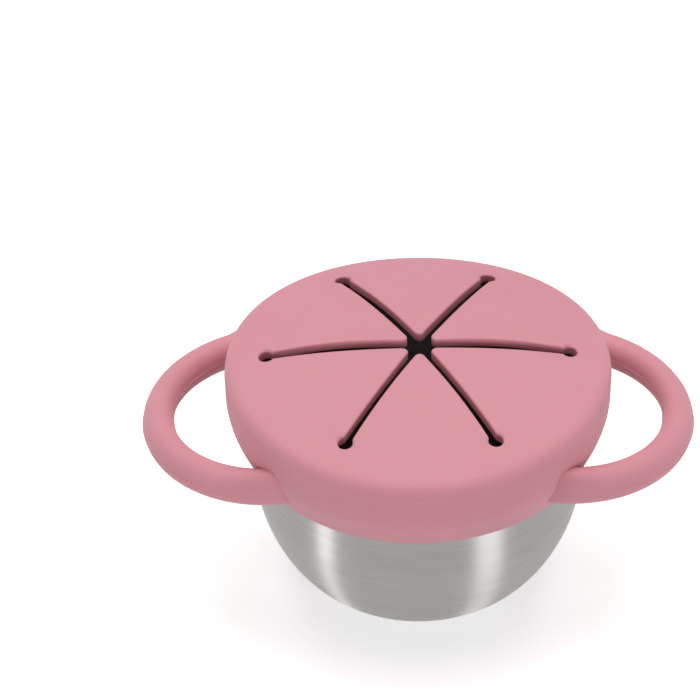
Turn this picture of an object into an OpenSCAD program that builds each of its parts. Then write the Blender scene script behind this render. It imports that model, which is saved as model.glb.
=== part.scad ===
// Toddler snack container: a drawn steel cup under a one-piece silicone lid.
// The lid has two loop handles and a domed top, cut by six slots into flaps that bend.
// Units are millimetres. +Z is up, the cup stands on z = 0 and the handles lie along X.

/* [Steel cup] */
// Height of the cup, from its base to the top of its rolled lip
cup_h = 66.9; // [66:0.1:68]
// Outer radius of the wall just under the lip
wall_top_r = 45.7; // [45:0.1:46.2]
// Outer radius of the wall where the rounded bottom starts
wall_low_r = 45; // [44:0.1:45.2]
// Height at which the rounded bottom starts
bowl_h = 33.4; // [30:0.2:40]
// Radius of the flat that the cup stands on
foot_r = 24; // [16:0.2:26]
// Fullness of the rounded bottom: 2 is a true ellipse
bowl_power = 1.68; // [1.6:0.01:2.2]
// Thickness of the steel
steel = 0.8; // [0.6:0.1:0.9]
// How far the rolled lip stands out from the wall
lip_out = 1.7; // [1.2:0.1:1.8]

/* [Lid] */
// Radius of the lid at its widest
lid_r = 52.5; // [52:0.1:54]
// Height of the middle of the dome
apex_z = 75.2; // [75:0.1:78]
// How much lower the dome would be at the lid's radius
dome_drop = 7; // [6.4:0.1:7.6]
// How the dome falls away: 2 is even, more keeps its middle flatter
dome_power = 2.3; // [2:0.1:2.6]
// Radius of the lid's rounded upper edge
edge_r = 4; // [3:0.1:5]
// Height at which the lid's side starts to turn in, where the skirt starts
parting_z = 59.5; // [58:0.1:61]
// Height of the skirt's lower edge
skirt_z = 44.1; // [42:0.1:46]
// Outer radius of the skirt's lower edge
skirt_r = 47; // [46:0.1:47.4]
// Radius that rounds the skirt's lower edge
hem_r = 0.5; // [0.1:0.05:0.6]
// Thickness of the domed skin
skin = 2.6; // [2.2:0.1:2.8]

/* [Slots and flaps] */
// Number of slots, and so of flaps
slots = 6; // [6:1:6]
// Width of a slot
slot_w = 2.6; // [1.5:0.1:3]
// Distance from the middle to the round end of a slot
slot_end_r = 41.1; // [40:0.1:41.5]
// Radius of the round hole that ends a slot
end_hole_r = 2.1; // [1.8:0.1:2.3]
// Radius that rounds the corners where a slot meets its end hole
corner_r = 0.7; // [0.3:0.1:1]
// Radius of a flap's rounded tip
tip_r = 1.5; // [1:0.1:2]
// Turn of the first slot from the handles, in degrees
star_turn = 1; // [-5:0.5:5]
// Width of the strip at a flap's root that bends
root_w = 3.4; // [3:0.1:4]

/* [Handles] */
// Distance of a handle loop's centre from the middle of the lid
loop_x = 39.5; // [37:0.1:40]
// Radius of the loop, to the middle of its tube
loop_r = 31.65; // [31:0.05:34]
// Height of the loop's centre
loop_z = 51.6; // [50:0.1:54]
// Width of the oval tube
tube_w = 8.4; // [8:0.1:10]
// Height of the oval tube
tube_h = 10.1; // [8:0.1:10.6]
// Lean of the oval, its top towards the loop's middle, in degrees
tube_lean = 16; // [0:1:25]
// Slope of the loop, falling outwards, in degrees
droop = 3; // [0:0.5:5]

/* [Hidden] */

steel_colour = [0.78, 0.78, 0.77];
silicone_colour = [0.86, 0.50, 0.56];

// Clear space kept between the silicone and the steel
gap = 0.3;
// Room round the lip, which the rigid parts of the lid pass when it is pulled off
lip_room = 0.4;
// How much of a cut runs past what it cuts
past = 5;
// Steps along each curved stretch of an outline
curve_steps = 14;
// Steps round each corner where a slot meets its end hole
corner_steps = 5;
// Steps round the skirt's lower edge
hem_steps = 4;

lip_r = wall_top_r + lip_out;
lip_half = steel;
lip_under = cup_h - 2 * lip_half;
bore_r = lip_r + lip_room;
seat_z = cup_h + gap;
liner_top = lip_under - lip_room;

// The skirt's curve becomes a straight taper after this drop
curl_drop = 8;
straight_drop = parting_z - skirt_z - curl_drop;
curl = (lid_r - skirt_r) / (pow(curl_drop, 2) + 2 * curl_drop * straight_drop);

slot_step = 360 / slots;
half_step = slot_step / 2;
chord_x = slot_end_r * cos(half_step);
flap_end = chord_x - root_w;
tip_x = (slot_w / 2 + tip_r) / sin(half_step);

// The end hole's middle, and the corner's middle measured from it along and across the slot
hole_y = slot_end_r * sin(half_step);
corner_out = slot_w / 2 + corner_r;
corner_in = sqrt(pow(end_hole_r + corner_r, 2) - pow(corner_out, 2));
corner_turn = atan2(corner_out, corner_in);

// ---- outlines ----

// Height of the dome's outer face at radius r
function dome_z(r) = apex_z - dome_drop * pow(r / lid_r, dome_power);

// Slope of the dome at radius r, in degrees
function dome_slope(r) = atan(dome_power * dome_drop * pow(r / lid_r, dome_power - 1) / lid_r);

// Angle at which the dome runs smoothly into the rounded edge, found by repeating
function edge_start(angle, rounds) = rounds == 0
    ? angle
    : edge_start(dome_slope(lid_r - edge_r + edge_r * sin(angle)), rounds - 1);

edge_angle = edge_start(30, 6);
edge_start_r = lid_r - edge_r + edge_r * sin(edge_angle);
edge_z = dome_z(edge_start_r) - edge_r * cos(edge_angle);

// Points along the dome from radius r0 to r1, with the outer face lowered by depth
function dome_line(r0, r1, depth = 0) =
    [for (i = [0 : curve_steps])
        let (r = r0 + (r1 - r0) * i / curve_steps)
        [r, dome_z(r) - depth]];

// Points round the lid's upper edge
edge_line =
    [for (i = [1 : curve_steps])
        let (a = edge_angle + (90 - edge_angle) * i / curve_steps)
        [lid_r - edge_r + edge_r * sin(a), edge_z + edge_r * cos(a)]];

// Points down the skirt from its start to its lower edge
skirt_line = concat(
    [for (i = [0 : curve_steps])
        let (drop = curl_drop * i / curve_steps)
        [lid_r - curl * pow(drop, 2), parting_z - drop]],
    [for (i = [0 : hem_steps])
        let (a = 90 * i / hem_steps)
        [skirt_r - hem_r + hem_r * cos(a), skirt_z + hem_r - hem_r * sin(a)]]);

// Points up the rounded bottom of the cup, its face moved in by inset
function bowl_line(inset) =
    [for (i = [0 : 2 * curve_steps])
        let (a = 90 * i / (2 * curve_steps))
        [foot_r + (wall_low_r - inset - foot_r) * pow(sin(a), 2 / bowl_power),
         bowl_h - (bowl_h - inset) * pow(cos(a), 2 / bowl_power)]];

// Outer radius of the steel wall at height z
function wall_r(z) =
    wall_low_r + (wall_top_r - wall_low_r) * (z - bowl_h) / (lip_under - bowl_h);

// Radius at which the dome's inner face comes down to the seat on the lip
seat_r = lid_r * pow((apex_z - skin - seat_z) / dome_drop, 1 / dome_power);

// ---- steel cup ----

// Half section of the cup: base, rounded bottom, tapered wall and rolled lip
module cup_section() {
    outer = bowl_line(0);
    inner = bowl_line(steel);
    polygon(concat(
        [[0, 0]],
        outer,
        [[wall_top_r, lip_under], [wall_top_r, cup_h - lip_half], [wall_top_r - steel, cup_h - lip_half]],
        [for (i = [len(inner) - 1 : -1 : 0]) inner[i]],
        [[0, steel]]));
    translate([wall_top_r, lip_under]) square([lip_out - lip_half, 2 * lip_half]);
    for (x = [wall_top_r, lip_r - lip_half])
        translate([x, cup_h - lip_half]) circle(r = lip_half, $fn = 48);
}

module steel_cup() {
    color(steel_colour)
        rotate_extrude($fn = 160) cup_section();
}

// ---- flaps: plan outlines, drawn with the flap's middle along +X ----

// Point in the flap's frame, from its place along and across a slot, measured from the end hole
function by_hole(along, across, side) =
    [chord_x + along * cos(half_step) + across * sin(half_step),
     side * (hole_y + along * sin(half_step) - across * cos(half_step))];

// Points round the corner between a slot and its end hole, from the slot to the hole
function corner_arc(side) =
    [for (i = [0 : corner_steps])
        let (a = -90 + (90 - corner_turn) * i / corner_steps)
        by_hole(-corner_in + corner_r * cos(a), corner_out + corner_r * sin(a), side)];

// The wedge between two neighbouring slots, with its rounded tip and rounded corners
module wedge_plan() {
    tip_arc = [for (i = [0 : curve_steps])
        let (a = 90 + half_step + (180 - 2 * half_step) * i / curve_steps)
        [tip_x + tip_r * cos(a), tip_r * sin(a)]];
    upper = corner_arc(1);
    polygon(concat(
        tip_arc,
        corner_arc(-1),
        [[chord_x, -hole_y], [chord_x, hole_y]],
        [for (i = [corner_steps : -1 : 0]) upper[i]]));
}

// The part of the wedge between two distances from the middle, less the end holes
module wedge_band(x0, x1) {
    difference() {
        intersection() {
            wedge_plan();
            translate([x0, -slot_end_r]) square([x1 - x0, 2 * slot_end_r]);
        }
        for (side = [-1, 1])
            rotate(side * half_step) translate([slot_end_r, 0]) circle(r = end_hole_r, $fn = 48);
    }
}

// Turn to flap number n
module at_flap(n) {
    rotate(star_turn + half_step + (n - 1) * slot_step) children();
}

// A piece of the domed skin with the given plan
module skin_piece(n, x0, x1) {
    color(silicone_colour)
        intersection() {
            rotate_extrude($fn = 160)
                polygon(concat(
                    dome_line(0, slot_end_r),
                    [for (i = [curve_steps : -1 : 0])
                        let (r = slot_end_r * i / curve_steps)
                        [r, dome_z(r) - skin]]));
            at_flap(n)
                translate([0, 0, seat_z]) linear_extrude(apex_z - seat_z + past) wedge_band(x0, x1);
        }
}

// A flap, from its tip to the strip that bends
module flap(n) {
    skin_piece(n, 0, flap_end);
}

// The strip at the flap's root that bends
module flap_root(n) {
    skin_piece(n, flap_end, chord_x);
}

// ---- lid ----

// The lid's outline filled in to the middle, to cut the handles off at its face
module lid_envelope() {
    rotate_extrude($fn = 160)
        polygon(concat(
            dome_line(0, edge_start_r),
            edge_line,
            skirt_line,
            [[0, skirt_z]]));
}

// Ring of the lid above the skirt, with the domed skin out to the flaps
module lid_top() {
    color(silicone_colour)
        difference() {
            rotate_extrude($fn = 160)
                polygon(concat(
                    dome_line(0, edge_start_r),
                    edge_line,
                    [[lid_r, parting_z], [bore_r, parting_z], [bore_r, seat_z]],
                    [for (i = [curve_steps : -1 : 0])
                        let (r = seat_r * i / curve_steps)
                        [r, dome_z(r) - skin]]));
            translate([0, 0, seat_z - past])
                linear_extrude(apex_z - seat_z + 2 * past)
                    rotate(star_turn) hand_opening_plan();
        }
}

// Six-sided hole that the flaps fill, with the slots' round ends at its corners
module hand_opening_plan() {
    circle(r = slot_end_r, $fn = slots);
    for (i = [0 : slots - 1])
        rotate(i * slot_step) translate([slot_end_r, 0]) circle(r = end_hole_r, $fn = 48);
}

// Sleeve that hugs the steel under the lip and stretches over it: skirt and liner
module grip_skirt() {
    color(silicone_colour)
        rotate_extrude($fn = 160)
            polygon(concat(
                skirt_line,
                [[wall_r(skirt_z) + gap, skirt_z],
                 [wall_r(liner_top) + gap, liner_top],
                 [bore_r, liner_top],
                 [bore_r, parting_z]]));
}

// Oval tube bent to half a circle, which ends on the face of the skirt
module handle() {
    overrun = 15;
    color(silicone_colour)
        difference() {
            translate([loop_x, 0, loop_z])
                rotate([0, droop, 0])
                    rotate(-90 - overrun)
                        rotate_extrude(angle = 180 + 2 * overrun, $fn = 120)
                            translate([loop_r, 0])
                                rotate(tube_lean)
                                    scale([tube_w / tube_h, 1]) circle(d = tube_h, $fn = 64);
            lid_envelope();
        }
}

module handle_right() {
    handle();
}

module handle_left() {
    mirror([1, 0, 0]) handle();
}

steel_cup();
lid_top();
grip_skirt();
handle_left();
handle_right();
flap(1);  // flap_1
flap(2);  // flap_2
flap(3);  // flap_3
flap(4);  // flap_4
flap(5);  // flap_5
flap(6);  // flap_6
flap_root(1);  // flap_root_1
flap_root(2);  // flap_root_2
flap_root(3);  // flap_root_3
flap_root(4);  // flap_root_4
flap_root(5);  // flap_root_5
flap_root(6);  // flap_root_6
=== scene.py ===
"""Toddler snack container: a brushed steel cup under a soft silicone lid.

The CAD part is the fixed frame. Each visible piece is built here as a fine mesh over it,
from the same named sizes and a few finer ones, in millimetres until the mesh is made.
"""
import math

import bpy
import bmesh
from mathutils import Matrix, Vector


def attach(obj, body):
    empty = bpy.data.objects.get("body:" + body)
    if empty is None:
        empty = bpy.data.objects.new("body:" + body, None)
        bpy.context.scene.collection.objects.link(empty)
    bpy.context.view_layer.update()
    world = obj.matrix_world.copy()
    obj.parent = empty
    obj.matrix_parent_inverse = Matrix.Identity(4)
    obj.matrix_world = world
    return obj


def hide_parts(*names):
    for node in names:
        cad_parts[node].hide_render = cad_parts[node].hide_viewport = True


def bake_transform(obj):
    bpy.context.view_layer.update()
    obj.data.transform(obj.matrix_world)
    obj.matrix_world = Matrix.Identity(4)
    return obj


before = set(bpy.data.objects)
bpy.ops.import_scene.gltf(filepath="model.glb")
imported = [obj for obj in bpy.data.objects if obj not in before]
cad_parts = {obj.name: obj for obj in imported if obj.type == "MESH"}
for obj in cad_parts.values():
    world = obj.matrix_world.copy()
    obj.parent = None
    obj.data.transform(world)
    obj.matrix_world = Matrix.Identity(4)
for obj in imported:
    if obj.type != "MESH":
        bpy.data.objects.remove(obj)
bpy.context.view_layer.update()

MM = 0.001

# ---- sizes of the part, in mm and degrees, as in the CAD source ----

CUP_H = 66.9
WALL_TOP_R = 45.7
WALL_LOW_R = 45.0
BOWL_H = 33.4
FOOT_R = 24.0
BOWL_POWER = 1.68
STEEL = 0.8
LIP_OUT = 1.7

LID_R = 52.5
APEX_Z = 75.2
DOME_DROP = 7.0
DOME_POWER = 2.3
EDGE_R = 4.0
PARTING_Z = 59.5
SKIRT_Z = 44.1
SKIRT_R = 47.0
HEM_R = 0.5
CURL_DROP = 8.0
GAP = 0.3
LIP_ROOM = 0.4

SLOTS = 6
SLOT_W = 2.6
SLOT_END_R = 41.1
END_HOLE_R = 2.1
CORNER_R = 0.7
TIP_R = 1.5
STAR_TURN = 1.0

LOOP_X = 39.5
LOOP_R = 31.65
LOOP_Z = 51.6
TUBE_W = 8.4
TUBE_H = 10.1
TUBE_LEAN = 16.0
DROOP = 3.0

# ---- finer forms that only the visible pieces have, in mm and degrees ----

# Thickness of the domed skin, 0.3 more than in the CAD, for deeper walls in the slots
SKIN = 2.9
# Rounding of the slots' edges, on the dome's upper and lower face
SLOT_ROUND = 0.7
SLOT_ROUND_BELOW = 0.3
# The mould lines: how far they stand out, and the height and half width of the one round the lid
MOULD_LINE = 0.15
MOULD_LINE_Z = 64.5
MOULD_LINE_HALF = 0.3
# Where a handle's two mould lines run, and half their width, as angles round the tube
HANDLE_LINES = (-19.0, 161.0)
HANDLE_LINE_HALF = 3.0
# How deep the handles' ends sink into the lid
HANDLE_SINK = 0.6
# How far the handles' roots swell upwards where they meet the skirt, and the share of it outwards
ROOT_SWELL = 3.0
ROOT_SWELL_OUT = 0.7
# Where the swelling starts and is full, as angles round the loop
ROOT_FROM, ROOT_FULL = 66.0, 88.0
# The outer and upper side of the tube, which swells, between these angles round it
SWELL_FIRST, SWELL_LAST = -20.0, 100.0

# ---- how the soft lid sits on the cup: it isn't quite the true round form, in mm and degrees ----

# How far its rim stands up at the handles, and down at the front and rear
SADDLE = 1.8
# How far its middle stands up, and is moved to the right
BULGE = 0.35
STAR_SHIFT = 0.45
# The most that a slot is turned towards the front or rear, for one half way to there
SQUEEZE_DEG = 0.97
# Each slot in turn: how much wider it is half way, and how far which of its edges stands up
SLOT_FORMS = ((0.0, 1.25, 1), (0.0, 0.0, 1), (0.0, 0.8, -1),
              (0.0, 1.25, -1), (-0.7, 0.0, 1), (-0.5, 0.0, 1))
# The distance over which these forms fade beside a slot
EDGE_REACH = 7.0

# ---- how fine the meshes are: counts of steps, and places of rings in mm ----

CUP_SEGMENTS = 288
BOWL_STEPS = 48
BASE_RINGS = (0.0, 5.0, 10.0, 15.0, 20.0)
WALL_RINGS = (36, 40, 45, 50, 55, 60, 64)
LIP_STEP_DEG = 15

ROUND_STEPS = 6
ARC_STEPS = 12
CHORD_STEPS = 24
HOLE_STEPS = 3
CORNER_STEPS = 6
TIP_STEPS = 8
# Places along a flap's side, from its corner (0) to its tip (1), closer together at both ends
SIDE_PLACES = (0.02, 0.04, 0.06, 0.08, 0.10, 0.125, 0.155, 0.19, 0.24, 0.3,
               0.37, 0.45, 0.54, 0.63, 0.72, 0.81, 0.89, 0.95, 1.0)

# The radius at which the ring's rows, which start along the slots' ends, have become round
RING_R = 44.5
# Places of the rows from the opening's rounded edge (0) to there (1)
RING_PLACES = (0.12, 0.28, 0.46, 0.64, 0.82, 1.0)
# Half of the span of directions that a slot's round end takes up there, in degrees
RING_ARC = 3.6
DOME_RINGS = (45.5, 46.6, 47.6, 48.4, 49.1)
EDGE_STEPS = 14
SIDE_RINGS = (63.2, 61.8, 60.5)
SKIRT_STEPS = 22
HEM_STEP_DEG = 15
LINER_RINGS = (46, 50, 54, 58, 62)

LOOP_STEPS = 120
TUBE_STEPS = 48
# Places across a mould line, from one edge (-1) to the other (1)
RIDGE_PLACES = (-1.0, -0.5, 0.0, 0.5, 1.0)

# Points nearer than this are joined, and shorter edges than this dissolved, in metres
JOIN_WITHIN = 2e-6
LEAST_EDGE = 1e-6


def sin(angle):
    return math.sin(math.radians(angle))


def cos(angle):
    return math.cos(math.radians(angle))


def mix(a, b, t):
    return a + (b - a) * t


# ---- outlines ----

def dome_z(r):
    return APEX_Z - DOME_DROP * (r / LID_R) ** DOME_POWER


def dome_slope(r):
    return math.degrees(math.atan(DOME_POWER * DOME_DROP * (r / LID_R) ** (DOME_POWER - 1) / LID_R))


def edge_start():
    """Angle at which the dome runs smoothly into its rounded edge, found by repeating."""
    angle = 30.0
    for _ in range(8):
        angle = dome_slope(LID_R - EDGE_R + EDGE_R * sin(angle))
    return angle


LIP_R = WALL_TOP_R + LIP_OUT
LIP_UNDER = CUP_H - 2 * STEEL
BORE_R = LIP_R + LIP_ROOM
SEAT_Z = CUP_H + GAP
LINER_TOP = LIP_UNDER - LIP_ROOM
SEAT_R = LID_R * ((APEX_Z - SKIN - SEAT_Z) / DOME_DROP) ** (1 / DOME_POWER)
EDGE_ANGLE = edge_start()
EDGE_START_R = LID_R - EDGE_R + EDGE_R * sin(EDGE_ANGLE)
EDGE_Z = dome_z(EDGE_START_R) - EDGE_R * cos(EDGE_ANGLE)
STRAIGHT_DROP = PARTING_Z - SKIRT_Z - CURL_DROP
CURL = (LID_R - SKIRT_R) / (CURL_DROP ** 2 + 2 * CURL_DROP * STRAIGHT_DROP)

STEP = 360.0 / SLOTS
HALF_STEP = STEP / 2
SLOT_HALF = SLOT_W / 2
CHORD_X = SLOT_END_R * cos(HALF_STEP)
HOLE_Y = -SLOT_END_R * sin(HALF_STEP)
TIP_X = (SLOT_HALF + TIP_R) / sin(HALF_STEP)


def skirt_r(z):
    """Outer radius of the skirt at height z."""
    drop = PARTING_Z - z
    if drop <= CURL_DROP:
        return LID_R - CURL * drop ** 2
    return mix(LID_R - CURL * CURL_DROP ** 2, SKIRT_R, (drop - CURL_DROP) / STRAIGHT_DROP)


def lid_face_r(z):
    """Outer radius of the lid at height z, from the skirt's edge to the dome."""
    if z <= PARTING_Z:
        return skirt_r(max(z, SKIRT_Z))
    if z <= EDGE_Z:
        return LID_R
    if z <= EDGE_Z + EDGE_R * cos(EDGE_ANGLE):
        return LID_R - EDGE_R + math.sqrt(max(0.0, EDGE_R ** 2 - (z - EDGE_Z) ** 2))
    return LID_R * max(0.0, (APEX_Z - z) / DOME_DROP) ** (1 / DOME_POWER)


def wall_r(z):
    """Outer radius of the steel wall at height z."""
    return mix(WALL_LOW_R, WALL_TOP_R, (z - BOWL_H) / (LIP_UNDER - BOWL_H))


def bowl_line(inset):
    """The rounded bottom's face, from its flat base up to the tapered wall."""
    line = []
    for i in range(BOWL_STEPS + 1):
        a = 90.0 * i / BOWL_STEPS
        s, c = max(0.0, sin(a)), max(0.0, cos(a))
        line.append((FOOT_R + (WALL_LOW_R - inset - FOOT_R) * s ** (2 / BOWL_POWER),
                     BOWL_H - (BOWL_H - inset) * c ** (2 / BOWL_POWER)))
    return line


# ---- how the soft lid settles ----

def edge_rise(along):
    """How far a slot's edge stands up, from the slot's inner end (0) to its outer end (1)."""
    tip_share, outer_power = 0.35, 1.5
    if along <= 0 or along >= 1:
        return 0.0
    rise = sin(180.0 * along)
    return rise ** outer_power if along > 0.5 else mix(tip_share, 1.0, rise)


def slot_forms(x, y):
    """Shift and lift of a point beside the slots, whose edges bend a little."""
    move_x, move_y, lift = 0.0, 0.0, 0.0
    for i, (wider, height, side) in enumerate(SLOT_FORMS):
        angle = STAR_TURN + i * STEP
        along = (x * cos(angle) + y * sin(angle)) / SLOT_END_R
        across = y * cos(angle) - x * sin(angle)
        if not 0 < along < 1:
            continue
        near = math.exp(-abs(across) / EDGE_REACH)
        if across * side > 0:
            lift += height * edge_rise(along) * near
        push = wider / 2 * math.copysign(1.0, across) * math.sqrt(sin(180.0 * along)) * near
        move_x -= push * sin(angle)
        move_y += push * cos(angle)
    return move_x, move_y, lift


def outer_share(_):
    """The outer face settles everywhere."""
    return 1.0


def inner_share(r):
    """The inner face settles only inside the lip, which holds the rest in place."""
    return min(1.0, max(0.0, (SEAT_R - r) / (SEAT_R - SLOT_END_R)))


def settled(points, share=outer_share):
    """Points of the soft lid as it sits on the cup: its sides up, its front and rear down, its
    middle up and to the right, and the slanting slots turned towards the front and rear."""
    out = []
    for x, y, z in points:
        fade = min(1.0, max(0.0, (z - SKIRT_Z) / (PARTING_Z - SKIRT_Z)))
        r = math.hypot(x, y)
        middle = max(0.0, 1 - (r / SLOT_END_R) ** 2)
        lift = SADDLE * (x * x - y * y) / LID_R ** 2 + BULGE * middle
        angle = math.degrees(math.atan2(y, x))
        angle += SQUEEZE_DEG * sin(2 * angle) * fade
        move_x, move_y, edge_lift = slot_forms(x, y)
        out.append((r * cos(angle) + move_x + STAR_SHIFT * middle, r * sin(angle) + move_y,
                    z + (lift + edge_lift) * fade * share(r)))
    return out


# ---- mesh helpers ----

def make(name, verts, faces, sharp=35.0):
    """A closed, smooth piece from points in mm. Points that meet are joined."""
    mesh = bpy.data.meshes.new(name)
    mesh.from_pydata([(x * MM, y * MM, z * MM) for x, y, z in verts], [], faces)
    bm = bmesh.new()
    bm.from_mesh(mesh)
    bmesh.ops.remove_doubles(bm, verts=bm.verts, dist=JOIN_WITHIN)
    bmesh.ops.dissolve_degenerate(bm, edges=bm.edges, dist=LEAST_EDGE)
    bmesh.ops.recalc_face_normals(bm, faces=bm.faces)
    bm.to_mesh(mesh)
    bm.free()
    for polygon in mesh.polygons:
        polygon.use_smooth = True
    mesh.set_sharp_from_angle(angle=math.radians(sharp))
    obj = bpy.data.objects.new(name, mesh)
    bpy.context.collection.objects.link(obj)
    return obj


def grid(rows, wrap_rows, wrap_cols):
    """Quads over equal rows of points."""
    n, m = len(rows), len(rows[0])
    verts = [p for row in rows for p in row]
    faces = []
    for i in range(n if wrap_rows else n - 1):
        for j in range(m if wrap_cols else m - 1):
            i2, j2 = (i + 1) % n, (j + 1) % m
            faces.append((i * m + j, i * m + j2, i2 * m + j2, i2 * m + j))
    return verts, faces


def revolve(profile, segments):
    return [[(r * cos(360.0 * j / segments), r * sin(360.0 * j / segments), z)
             for j in range(segments)] for r, z in profile]


# ---- steel cup ----

def cup_profile():
    """Closed outline of the cup's wall, from the middle of the base and back to it."""
    flare, turn_out, turn_down = 0.35, 0.05, 0.1
    outside = [(r, 0.0) for r in BASE_RINGS] + bowl_line(0)
    outside += [(wall_r(z), z) for z in WALL_RINGS]
    outside += [(wall_r(LIP_UNDER - flare), LIP_UNDER - flare),
                (wall_r(LIP_UNDER) + turn_out, LIP_UNDER - turn_down),
                (wall_r(LIP_UNDER) + flare, LIP_UNDER)]
    lip_x, lip_z = LIP_R - STEEL, CUP_H - STEEL
    lip = [(lip_x + STEEL * cos(a), lip_z + STEEL * sin(a)) for a in range(-90, 91, LIP_STEP_DEG)]
    lip += [(WALL_TOP_R - STEEL * sin(a), lip_z + STEEL * cos(a)) for a in range(0, 91, LIP_STEP_DEG)]
    inside = [(wall_r(z) - STEEL, z) for z in reversed(WALL_RINGS)]
    inside += bowl_line(STEEL)[::-1] + [(r, STEEL) for r in reversed(BASE_RINGS)]
    return outside + lip + inside


def make_cup():
    obj = make("steel_cup_wall", *grid(revolve(cup_profile(), CUP_SEGMENTS), False, True))
    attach(obj, "cup")
    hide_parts("steel_cup")
    return obj


# ---- flaps, drawn in the frame of one flap, whose middle lies along +X ----

def round_steps(radius):
    """Insets from an edge and how far the face falls there, from the edge inwards."""
    return [(radius * (1 - cos(90.0 * i / ROUND_STEPS)), radius * (1 - sin(90.0 * i / ROUND_STEPS)))
            for i in range(ROUND_STEPS + 1)]


def flap_side(d):
    """Points along a flap's lower side at inset d, from its root to its tip."""
    least_bend = 0.05
    bend = max(CORNER_R - d, least_bend)
    out = SLOT_HALF + d + bend
    back = math.sqrt((END_HOLE_R + d + bend) ** 2 - out ** 2)
    corner_x = CHORD_X - back * cos(HALF_STEP) + out * sin(HALF_STEP)
    corner_y = HOLE_Y + back * sin(HALF_STEP) + out * cos(HALF_STEP)
    corner_angle = math.degrees(math.atan2(corner_y - HOLE_Y, corner_x - CHORD_X))
    tip_angle = -90.0 - HALF_STEP
    side = []
    for i in range(HOLE_STEPS + 1):
        a = mix(90.0, corner_angle, i / HOLE_STEPS)
        side.append((CHORD_X + (END_HOLE_R + d) * cos(a), HOLE_Y + (END_HOLE_R + d) * sin(a)))
    for i in range(1, CORNER_STEPS + 1):
        a = mix(corner_angle - 180.0, tip_angle, i / CORNER_STEPS)
        side.append((corner_x + bend * cos(a), corner_y + bend * sin(a)))
    start = side[-1]
    end = (TIP_X + (TIP_R - d) * cos(tip_angle), (TIP_R - d) * sin(tip_angle))
    side += [(mix(start[0], end[0], t), mix(start[1], end[1], t)) for t in SIDE_PLACES]
    for i in range(1, TIP_STEPS + 1):
        a = mix(tip_angle, -180.0, i / TIP_STEPS)
        side.append((TIP_X + (TIP_R - d) * cos(a), (TIP_R - d) * sin(a)))
    return side


def rung(lower, upper, steps):
    """Points between two others, without these."""
    return [(mix(lower[0], upper[0], i / steps), mix(lower[1], upper[1], i / steps))
            for i in range(1, steps)]


def on_dome(row, depth, below):
    """A row of (x, y, fall) laid on the dome, depth under its face; below turns the fall upwards."""
    line = []
    for x, y, fall in row:
        z = dome_z(math.hypot(x, y)) - depth
        line.append((x, y, z + fall if below else z - fall))
    return line


def flap_face(radius, depth, below):
    """Rows of points over a flap's upper or lower face, from its root to its tip."""
    bends = round_steps(radius)
    sides = [flap_side(d) for d, _ in bends]
    rows = []
    for k in range(len(sides[0])):
        lower = [(*side[k], fall) for side, (_, fall) in zip(sides, bends)]
        upper = [(x, -y, fall) for x, y, fall in reversed(lower)]
        middle = [(x, y, 0.0) for x, y in rung(lower[-1], upper[0], CHORD_STEPS)]
        rows.append(on_dome(lower + middle + upper, depth, below))
    return rows


def turned(rows, angle):
    c, s = cos(angle), sin(angle)
    return [[(x * c - y * s, x * s + y * c, z) for x, y, z in row] for row in rows]


def flap_angle(n):
    return STAR_TURN + HALF_STEP + (n - 1) * STEP


def make_flap(n):
    top = flap_face(SLOT_ROUND, 0.0, False)
    bottom = flap_face(SLOT_ROUND_BELOW, SKIN, True)
    loops = [t + b[::-1] for t, b in zip(top, bottom)]
    rows = [settled(row) for row in turned(loops, flap_angle(n))]
    verts, faces = grid(rows, False, True)
    # The root's end is closed here; at the tip the two sides meet.
    m, half = len(rows[0]), len(top[0])
    faces += [(j, j + 1, m - 2 - j, m - 1 - j) for j in range(half - 1)]
    obj = make(f"flap_skin_{n}", verts, faces)
    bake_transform(obj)
    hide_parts(f"flap_{n}", f"flap_root_{n}")
    return obj


# ---- shell of the lid, from the slots' round ends out and down to the skirt ----

def ring_edge(d):
    """Points along the opening's side of one sixth of the ring, at inset d."""
    return [(CHORD_X + (END_HOLE_R + d) * cos(a), HOLE_Y + (END_HOLE_R + d) * sin(a))
            for a in [mix(-HALF_STEP, 90.0, i / ARC_STEPS) for i in range(ARC_STEPS + 1)]]


def ring_angles():
    """Directions of the ring's columns over one sixth, where they reach the round part."""
    low = [mix(-HALF_STEP, RING_ARC - HALF_STEP, i / ARC_STEPS) for i in range(ARC_STEPS)]
    mid = [mix(RING_ARC - HALF_STEP, HALF_STEP - RING_ARC, i / CHORD_STEPS) for i in range(CHORD_STEPS)]
    high = [mix(HALF_STEP - RING_ARC, HALF_STEP, i / ARC_STEPS) for i in range(ARC_STEPS)]
    return low + mid + high


def ring_row(d, full):
    """One sixth of a row round the opening at inset d; full is the rounding's whole width."""
    arc = ring_edge(d)
    inner = ring_edge(full)[-1]
    chord = rung(inner, (inner[0], -inner[1]), CHORD_STEPS)
    return arc + chord + [(x, -y) for x, y in reversed(arc)][:-1]


def ring_face(radius, depth, below):
    """Rows from the opening's edge out to the round part, over one face."""
    rows = [[(x, y, fall if i <= ARC_STEPS or i >= ARC_STEPS + CHORD_STEPS else 0.0)
             for i, (x, y) in enumerate(ring_row(d, radius))] for d, fall in round_steps(radius)]
    angles = ring_angles()
    last = rows[-1]
    for t in RING_PLACES:
        rows.append([(mix(p[0], RING_R * cos(a), t), mix(p[1], RING_R * sin(a), t), 0.0)
                     for p, a in zip(last, angles)])
    return [on_dome(row, depth, below) for row in rows]


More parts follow.
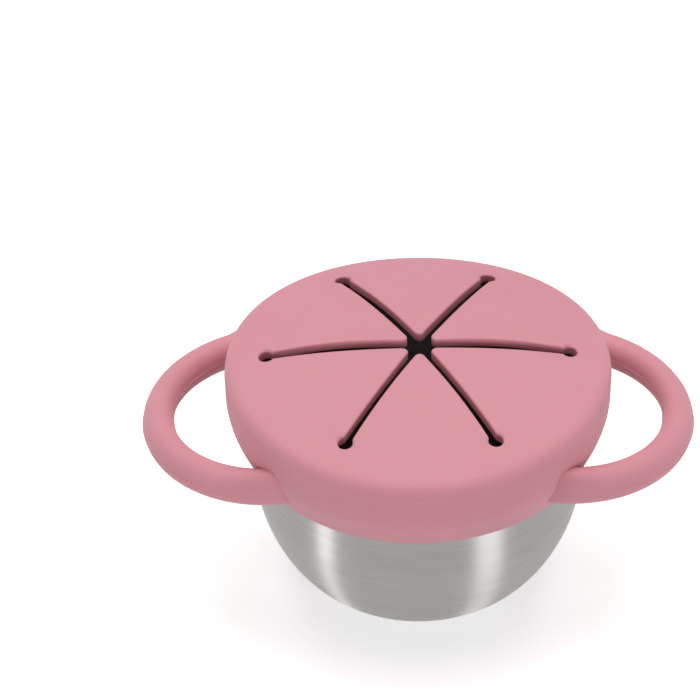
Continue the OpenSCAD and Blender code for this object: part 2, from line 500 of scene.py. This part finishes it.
def shell_outside():
    """Outline from the round part's top face, over the edge and down to the skirt's edge."""
    out = [(r, dome_z(r)) for r in (*DOME_RINGS, EDGE_START_R)]
    for i in range(1, EDGE_STEPS + 1):
        a = mix(EDGE_ANGLE, 90.0, i / EDGE_STEPS)
        out.append((LID_R - EDGE_R + EDGE_R * sin(a), EDGE_Z + EDGE_R * cos(a)))
    for t in RIDGE_PLACES:
        out.append((LID_R + MOULD_LINE * (1 - abs(t)), MOULD_LINE_Z - t * MOULD_LINE_HALF))
    out += [(LID_R, z) for z in SIDE_RINGS]
    for i in range(SKIRT_STEPS + 1):
        z = mix(PARTING_Z, SKIRT_Z + HEM_R, i / SKIRT_STEPS)
        out.append((skirt_r(z), z))
    for a in range(HEM_STEP_DEG, 91, HEM_STEP_DEG):
        out.append((SKIRT_R - HEM_R + HEM_R * cos(a), SKIRT_Z + HEM_R - HEM_R * sin(a)))
    return out


def shell_inside():
    """Outline from the skirt's edge up the liner, over the lip and out to the dome's inner face."""
    seat_run = 0.5
    return ([(wall_r(z) + GAP, z) for z in (SKIRT_Z, *LINER_RINGS, LINER_TOP)]
            + [(BORE_R, LINER_TOP), (BORE_R, SEAT_Z), (SEAT_R + seat_run, SEAT_Z)])


def make_shell():
    sixth = ring_angles()
    angles = [a + STAR_TURN + HALF_STEP + s * STEP for s in range(SLOTS) for a in sixth]
    top, bottom = ring_face(SLOT_ROUND, 0.0, False), ring_face(SLOT_ROUND_BELOW, SKIN, True)

    def whole(row):
        return [p for s in range(SLOTS) for p in turned([row], STAR_TURN + HALF_STEP + s * STEP)[0]]

    def round_row(r, z):
        return [(r * cos(a), r * sin(a), z) for a in angles]

    rows = [settled(whole(row)) for row in top]
    rows += [settled(round_row(r, z)) for r, z in shell_outside()]
    rows += [settled(round_row(r, z), inner_share) for r, z in shell_inside()]
    rows += [settled(whole(row), inner_share) for row in reversed(bottom)]
    obj = make("lid_shell", *grid(rows, True, True))
    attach(obj, "lid")
    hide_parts("lid_top", "grip_skirt")
    return obj


# ---- loop handles ----

def handle_point(psi, theta, side):
    """Point on the handle's skin: psi round the loop, theta round its oval tube."""
    ridge = max(max(0.0, 1 - abs(theta - line) / HANDLE_LINE_HALF) for line in HANDLE_LINES) * MOULD_LINE
    a, b = (TUBE_W / 2 + ridge) * cos(theta), (TUBE_H / 2 + ridge) * sin(theta)
    near = min(1.0, max(0.0, (abs(psi) - ROOT_FROM) / (ROOT_FULL - ROOT_FROM)))
    grown = 0.0
    if SWELL_FIRST < theta < SWELL_LAST:
        bulge = sin(180.0 * (theta - SWELL_FIRST) / (SWELL_LAST - SWELL_FIRST))
        grown = ROOT_SWELL * near ** 2 * (3 - 2 * near) * bulge
    out = a * cos(TUBE_LEAN) - b * sin(TUBE_LEAN) + ROOT_SWELL_OUT * grown
    up = a * sin(TUBE_LEAN) + b * cos(TUBE_LEAN) + grown
    x, y = (LOOP_R + out) * cos(psi), (LOOP_R + out) * sin(psi)
    x, z = x * cos(DROOP) + up * sin(DROOP), -x * sin(DROOP) + up * cos(DROOP)
    return side * (LOOP_X + x), y, LOOP_Z + z


def handle_reach(theta):
    """How far round the loop the skin at theta runs before it sinks into the lid."""
    lo, hi = 60.0, 130.0
    for _ in range(40):
        mid = (lo + hi) / 2
        x, y, z = handle_point(mid, theta, 1)
        if math.hypot(x, y) > lid_face_r(z) - HANDLE_SINK:
            lo = mid
        else:
            hi = mid
    return lo


def make_handle(name, side):
    thetas = [360.0 * j / TUBE_STEPS - 90.0 for j in range(TUBE_STEPS)]
    thetas += [line + t * HANDLE_LINE_HALF for line in HANDLE_LINES for t in RIDGE_PLACES]
    thetas = sorted(set(thetas))
    around = len(thetas)
    reach = [handle_reach(t) for t in thetas]
    rows = [[handle_point(r * (2.0 * i / LOOP_STEPS - 1), t, side) for t, r in zip(thetas, reach)]
            for i in range(LOOP_STEPS + 1)]
    verts, faces = grid(rows, False, True)
    # Each end is closed with a fan round its middle.
    for row, first in ((rows[0], 0), (rows[-1], LOOP_STEPS * around)):
        verts.append(tuple(sum(p[k] for p in row) / around for k in range(3)))
        faces += [(first + j, first + (j + 1) % around, len(verts) - 1) for j in range(around)]
    obj = make(name, verts, faces)
    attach(obj, "lid")
    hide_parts(name)
    return obj


cup = make_cup()
shell = make_shell()
flaps = [make_flap(n) for n in range(1, SLOTS + 1)]
handles = [make_handle("handle_left", -1), make_handle("handle_right", 1)]


# ---- materials ----

def new_material(name):
    material = bpy.data.materials.new(name)
    material.use_nodes = True
    tree = material.node_tree
    return material, tree, tree.nodes["Principled BSDF"]


def add(tree, kind, **settings):
    """A new node, with its sockets or else its own settings set by name."""
    node = tree.nodes.new(kind)
    for key, value in settings.items():
        if key in node.inputs:
            node.inputs[key].default_value = value
        else:
            setattr(node, key, value)
    return node


def shaded(tree, shader, pattern, low, high):
    """Base colour that follows a pattern between two colours."""
    tint = add(tree, "ShaderNodeMix", data_type="RGBA")
    tint.inputs["A"].default_value = (*low, 1)
    tint.inputs["B"].default_value = (*high, 1)
    tree.links.new(pattern.outputs["Fac"], tint.inputs["Factor"])
    tree.links.new(tint.outputs["Result"], shader.inputs["Base Color"])


def roughened(tree, shader, pattern, low, high):
    """Roughness that follows a pattern between two values."""
    rough = add(tree, "ShaderNodeMapRange")
    rough.inputs["To Min"].default_value = low
    rough.inputs["To Max"].default_value = high
    tree.links.new(pattern.outputs["Fac"], rough.inputs["Value"])
    tree.links.new(rough.outputs["Result"], shader.inputs["Roughness"])


def embossed(tree, shader, pattern, strength, height):
    """Fine relief that follows a pattern, its height in metres."""
    bump = add(tree, "ShaderNodeBump", Strength=strength, Distance=height)
    tree.links.new(pattern.outputs["Fac"], bump.inputs["Height"])
    tree.links.new(bump.outputs["Normal"], shader.inputs["Normal"])


def silicone_material():
    """Matt, dusty pink silicone with a faint cloud of tone and a fine grain."""
    material, tree, shader = new_material("silicone_pink")
    place = add(tree, "ShaderNodeTexCoord")
    cloud = add(tree, "ShaderNodeTexNoise", Scale=45.0, Detail=3.0)
    grain = add(tree, "ShaderNodeTexNoise", Scale=2600.0, Detail=2.0)
    tree.links.new(place.outputs["Object"], cloud.inputs["Vector"])
    tree.links.new(place.outputs["Object"], grain.inputs["Vector"])
    shaded(tree, shader, cloud, low=(0.72, 0.30, 0.352), high=(0.75, 0.33, 0.382))
    roughened(tree, shader, grain, low=0.56, high=0.66)
    embossed(tree, shader, grain, strength=0.12, height=0.00005)
    shader.inputs["Specular IOR Level"].default_value = 0.28
    shader.inputs["Sheen Weight"].default_value = 0.08
    shader.inputs["Sheen Roughness"].default_value = 0.5
    shader.inputs["Subsurface Weight"].default_value = 0.25
    shader.inputs["Subsurface Radius"].default_value = (1.0, 0.3, 0.3)
    shader.inputs["Subsurface Scale"].default_value = 0.0015
    return material


def steel_material():
    """Steel brushed round the cup's axis: streaks that run round it and lie close up its side."""
    material, tree, shader = new_material("steel_brushed")
    link = tree.links.new
    place = add(tree, "ShaderNodeTexCoord")
    parts = add(tree, "ShaderNodeSeparateXYZ")
    link(place.outputs["Object"], parts.inputs["Vector"])
    level = add(tree, "ShaderNodeCombineXYZ")
    link(parts.outputs["X"], level.inputs["X"])
    link(parts.outputs["Y"], level.inputs["Y"])
    radius = add(tree, "ShaderNodeVectorMath", operation="LENGTH")
    link(level.outputs["Vector"], radius.inputs[0])
    climb = add(tree, "ShaderNodeMath", operation="SUBTRACT")
    link(parts.outputs["Z"], climb.inputs[0])
    link(radius.outputs["Value"], climb.inputs[1])
    direction = add(tree, "ShaderNodeVectorMath", operation="NORMALIZE")
    link(level.outputs["Vector"], direction.inputs[0])
    apart = add(tree, "ShaderNodeSeparateXYZ")
    link(direction.outputs["Vector"], apart.inputs["Vector"])

    def streaks(name, round_scale, climb_scale, detail):
        lift = add(tree, "ShaderNodeMath", operation="MULTIPLY")
        lift.inputs[1].default_value = climb_scale / round_scale
        link(climb.outputs["Value"], lift.inputs[0])
        point = add(tree, "ShaderNodeCombineXYZ")
        link(apart.outputs["X"], point.inputs["X"])
        link(apart.outputs["Y"], point.inputs["Y"])
        link(lift.outputs["Value"], point.inputs["Z"])
        noise = add(tree, "ShaderNodeTexNoise", Scale=round_scale, Detail=detail)
        noise.name = name
        link(point.outputs["Vector"], noise.inputs["Vector"])
        return noise

    fine = streaks("fine_brushing", round_scale=7.0, climb_scale=5200.0, detail=3.0)
    broad = streaks("broad_brushing", round_scale=3.0, climb_scale=900.0, detail=2.0)
    shaded(tree, shader, broad, low=(0.40, 0.392, 0.384), high=(0.50, 0.49, 0.478))
    roughened(tree, shader, fine, low=0.34, high=0.46)
    embossed(tree, shader, fine, strength=0.15, height=0.00003)
    tangent = add(tree, "ShaderNodeTangent", direction_type="RADIAL", axis="Z")
    link(tangent.outputs["Tangent"], shader.inputs["Tangent"])
    shader.inputs["Metallic"].default_value = 1.0
    shader.inputs["Anisotropic"].default_value = 1.0
    shader.inputs["Anisotropic Rotation"].default_value = 0.25
    return material


silicone = silicone_material()
steel = steel_material()
for obj in [shell] + flaps + handles:
    obj.data.materials.append(silicone)
cup.data.materials.append(steel)
for name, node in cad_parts.items():
    node.data.materials.clear()
    node.data.materials.append(steel if name == "steel_cup" else silicone)


# ---- floor, light and camera, in metres ----

def background_rays(tree):
    """1 for the rays that show the background: from the camera, or by way of metal or glass."""
    path = tree.nodes.new("ShaderNodeLightPath")
    seen = add(tree, "ShaderNodeMath", operation="MAXIMUM")
    tree.links.new(path.outputs["Is Camera Ray"], seen.inputs[0])
    tree.links.new(path.outputs["Is Glossy Ray"], seen.inputs[1])
    also = add(tree, "ShaderNodeMath", operation="MAXIMUM")
    tree.links.new(seen.outputs["Value"], also.inputs[0])
    tree.links.new(path.outputs["Is Transmission Ray"], also.inputs[1])
    return also.outputs["Value"]


def floor_material(shade, white):
    """Pale floor that shows as white, with a part of the object's shadow."""
    material, tree, shader = new_material("floor_white")
    link = tree.links.new
    shader.inputs["Base Color"].default_value = (0.65, 0.65, 0.65, 1)
    shader.inputs["Roughness"].default_value = 0.9
    shader.inputs["Specular IOR Level"].default_value = 0.1
    soft = tree.nodes.new("ShaderNodeBsdfDiffuse")
    soft.inputs["Color"].default_value = (shade, shade, shade, 1)
    glow = add(tree, "ShaderNodeEmission", Strength=white)
    both = tree.nodes.new("ShaderNodeAddShader")
    link(soft.outputs["BSDF"], both.inputs[0])
    link(glow.outputs["Emission"], both.inputs[1])
    blend = tree.nodes.new("ShaderNodeMixShader")
    link(background_rays(tree), blend.inputs["Fac"])
    link(shader.outputs["BSDF"], blend.inputs[1])
    link(both.outputs["Shader"], blend.inputs[2])
    link(blend.outputs["Shader"], tree.nodes["Material Output"].inputs["Surface"])
    return material


def make_floor(half, drop):
    """A square floor, a hair under the cup's base."""
    mesh = bpy.data.meshes.new("floor")
    corners = [(-half, -half), (half, -half), (half, half), (-half, half)]
    mesh.from_pydata([(x, y, -drop) for x, y in corners], [], [(0, 1, 2, 3)])
    obj = bpy.data.objects.new("floor", mesh)
    bpy.context.collection.objects.link(obj)
    mesh.materials.append(floor_material(shade=0.95, white=0.5))


def make_world(level):
    world = bpy.data.worlds.new("studio")
    bpy.context.scene.world = world
    world.use_nodes = True
    soft = world.node_tree.nodes["Background"]
    soft.inputs["Color"].default_value = (1, 1, 1, 1)
    soft.inputs["Strength"].default_value = level


def softbox(name, spot, aim, width, height, watts):
    data = bpy.data.lights.new(name, "AREA")
    data.shape = "RECTANGLE"
    data.size, data.size_y = width, height
    data.energy = watts
    obj = bpy.data.objects.new(name, data)
    bpy.context.collection.objects.link(obj)
    obj.location = spot
    obj.rotation_euler = (Vector(aim) - Vector(spot)).to_track_quat("-Z", "Y").to_euler()


def make_camera():
    """The photograph's view: about 39 degrees above the table, from the front."""
    elevation, roll = 38.52, -0.29
    distance = 1500.0
    pixels_per_mm, picture = 3.645, 700.0
    seen_x, seen_y = 418.2, 432.0
    sensor = 36.0
    middle = Vector((0, 0, 45))
    right = Vector((1, 0, 0))
    up = Vector((0, sin(elevation), cos(elevation)))
    turned_right = right * cos(roll) + up * sin(roll)
    turned_up = up * cos(roll) - right * sin(roll)
    target = (middle - turned_right * ((seen_x - picture / 2) / pixels_per_mm)
              + turned_up * ((seen_y - picture / 2) / pixels_per_mm))
    spot = middle + Vector((0, -cos(elevation), sin(elevation))) * distance
    back = (spot - target).normalized()
    x_axis = turned_right - back * turned_right.dot(back)
    x_axis.normalize()
    y_axis = back.cross(x_axis)
    data = bpy.data.cameras.new("camera")
    data.sensor_width = sensor
    data.lens = sensor * pixels_per_mm * distance / picture
    data.clip_end = 50.0
    obj = bpy.data.objects.new("camera", data)
    bpy.context.collection.objects.link(obj)
    rotation = Matrix((x_axis, y_axis, back)).transposed()
    obj.matrix_world = Matrix.Translation(spot * MM) @ rotation.to_4x4()
    bpy.context.scene.camera = obj


make_floor(half=6.0, drop=0.00005)
make_world(0.22)
softbox("softbox_top", (0.0, 0.28, 1.3), aim=(0, 0, 0.05), width=1.3, height=1.3, watts=15.3)
softbox("softbox_left", (-1.73, -1.0, 0.2), aim=(0, 0, 0.04), width=0.35, height=0.36, watts=8.5)
softbox("softbox_right", (1.39, -1.44, 0.2), aim=(0, 0, 0.04), width=0.6, height=0.36, watts=10.5)
make_camera()
bpy.context.scene.view_settings.view_transform = "Standard"
